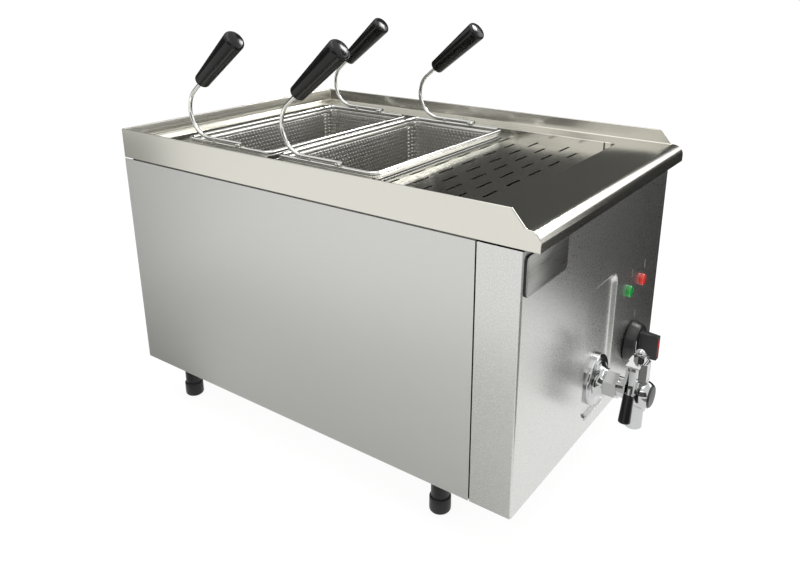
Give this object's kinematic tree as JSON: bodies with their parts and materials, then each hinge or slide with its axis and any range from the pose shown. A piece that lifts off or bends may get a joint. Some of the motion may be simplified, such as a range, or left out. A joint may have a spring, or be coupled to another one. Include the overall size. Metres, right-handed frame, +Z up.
{
  "type": "table-top pasta cooker",
  "caption": "Table-top electric pasta cooker with a heated well, lift-out perforated baskets on upright black handles, a slotted drain plate, a drain tap and a thermostat knob.",
  "frame": {"origin": "floor under the middle of the bounding box", "axes": "+X to the machine's right as seen from the front, -Y to the front with the tap, +Z up"},
  "size_m": [0.4, 0.643, 0.503],
  "materials": {
    "stainless": "satin",
    "dark_stainless": "satin",
    "bright_wire": "polished",
    "perforated_steel": "satin",
    "chromed_brass": "polished",
    "grip_plastic": "gloss",
    "black_plastic": "satin",
    "red_plastic": "gloss",
    "green_lens": "gloss",
    "red_lens": "gloss",
    "white_plastic": "matt",
    "brass": "satin",
    "copper": "satin",
    "heater_sheath": "matt",
    "steel_hardware": "plain"
  },
  "bodies": {
    "cabinet": {"worktop": "stainless", "tank": "stainless", "left_side_panel": "stainless", "right_side_panel": "stainless", "rear_panel": "stainless", "front_fascia": "stainless", "base_plate": "stainless", "recess_pan": "stainless", "false_bottom": "stainless", "badge_plate": "chromed_brass", "tap_rosette": "chromed_brass", "tap_body": "chromed_brass", "tap_spout": "chromed_brass", "tap_gland_nut": "chromed_brass", "tap_end_cap": "black_plastic", "safety_cutout": "black_plastic", "cable_gland": "black_plastic", "foot_legs": "black_plastic", "panel_screws": "steel_hardware", "drain_pipe": "steel_hardware", "green_lamp_lens": "green_lens", "red_lamp_lens": "red_lens", "lamp_bodies": "white_plastic", "terminal_block": "white_plastic", "thermostat": "white_plastic", "bulb_gland": "brass", "element_nuts": "brass", "thermostat_bulb": "copper", "heating_elements": "heater_sheath"},
    "rear_basket": {"rear_basket_mesh": "perforated_steel", "rear_basket_base": "perforated_steel", "rear_basket_rim": "bright_wire", "rear_left_handle_rod": "bright_wire", "rear_right_handle_rod": "bright_wire", "rear_left_grip": "grip_plastic", "rear_right_grip": "grip_plastic"},
    "front_basket": {"front_basket_mesh": "perforated_steel", "front_basket_base": "perforated_steel", "front_basket_rim": "bright_wire", "front_left_handle_rod": "bright_wire", "front_right_handle_rod": "bright_wire", "front_left_grip": "grip_plastic", "front_right_grip": "grip_plastic"},
    "drain_plate": {"drain_plate": "dark_stainless"},
    "tap_lever": {"tap_spindle": "steel_hardware", "valve_ball": "steel_hardware", "tap_lever": "chromed_brass", "tap_lever_sleeve": "black_plastic", "tap_cap_nut": "chromed_brass"},
    "knob": {"thermostat_knob": "black_plastic", "knob_insert": "red_plastic", "knob_shaft": "steel_hardware"},
    "front_left_foot": {"front_left_foot": "black_plastic"},
    "front_right_foot": {"front_right_foot": "black_plastic"},
    "rear_left_foot": {"rear_left_foot": "black_plastic"},
    "rear_right_foot": {"rear_right_foot": "black_plastic"}
  },
  "joints": [
    {"name": "rear_basket_lift", "type": "slide", "parent": "cabinet", "child": "rear_basket", "axis": [0, 0, 1], "range_m": [0, 0.2]},
    {"name": "front_basket_lift", "type": "slide", "parent": "cabinet", "child": "front_basket", "axis": [0, 0, 1], "range_m": [0, 0.2]},
    {"name": "drain_plate_lift", "type": "slide", "parent": "cabinet", "child": "drain_plate", "axis": [0, 0, 1], "range_m": [0, 0.12]},
    {"name": "tap_lever_turn", "type": "hinge", "parent": "cabinet", "child": "tap_lever", "pos_m": [0.007, -0.3031, 0.1135], "axis": [0, 0, 1], "range_deg": [0, 90]},
    {"name": "thermostat_knob_turn", "type": "hinge", "parent": "cabinet", "child": "knob", "pos_m": [0.113, -0.2545, 0.1195], "axis": [0, 1, 0], "range_deg": [0, 270]},
    {"name": "front_left_foot_screw", "type": "slide", "parent": "cabinet", "child": "front_left_foot", "axis": [0, 0, -1], "range_m": [0, 0.01]},
    {"name": "front_right_foot_screw", "type": "slide", "parent": "cabinet", "child": "front_right_foot", "axis": [0, 0, -1], "range_m": [0, 0.01]},
    {"name": "rear_left_foot_screw", "type": "slide", "parent": "cabinet", "child": "rear_left_foot", "axis": [0, 0, -1], "range_m": [0, 0.01]},
    {"name": "rear_right_foot_screw", "type": "slide", "parent": "cabinet", "child": "rear_right_foot", "axis": [0, 0, -1], "range_m": [0, 0.01]}
  ]
}
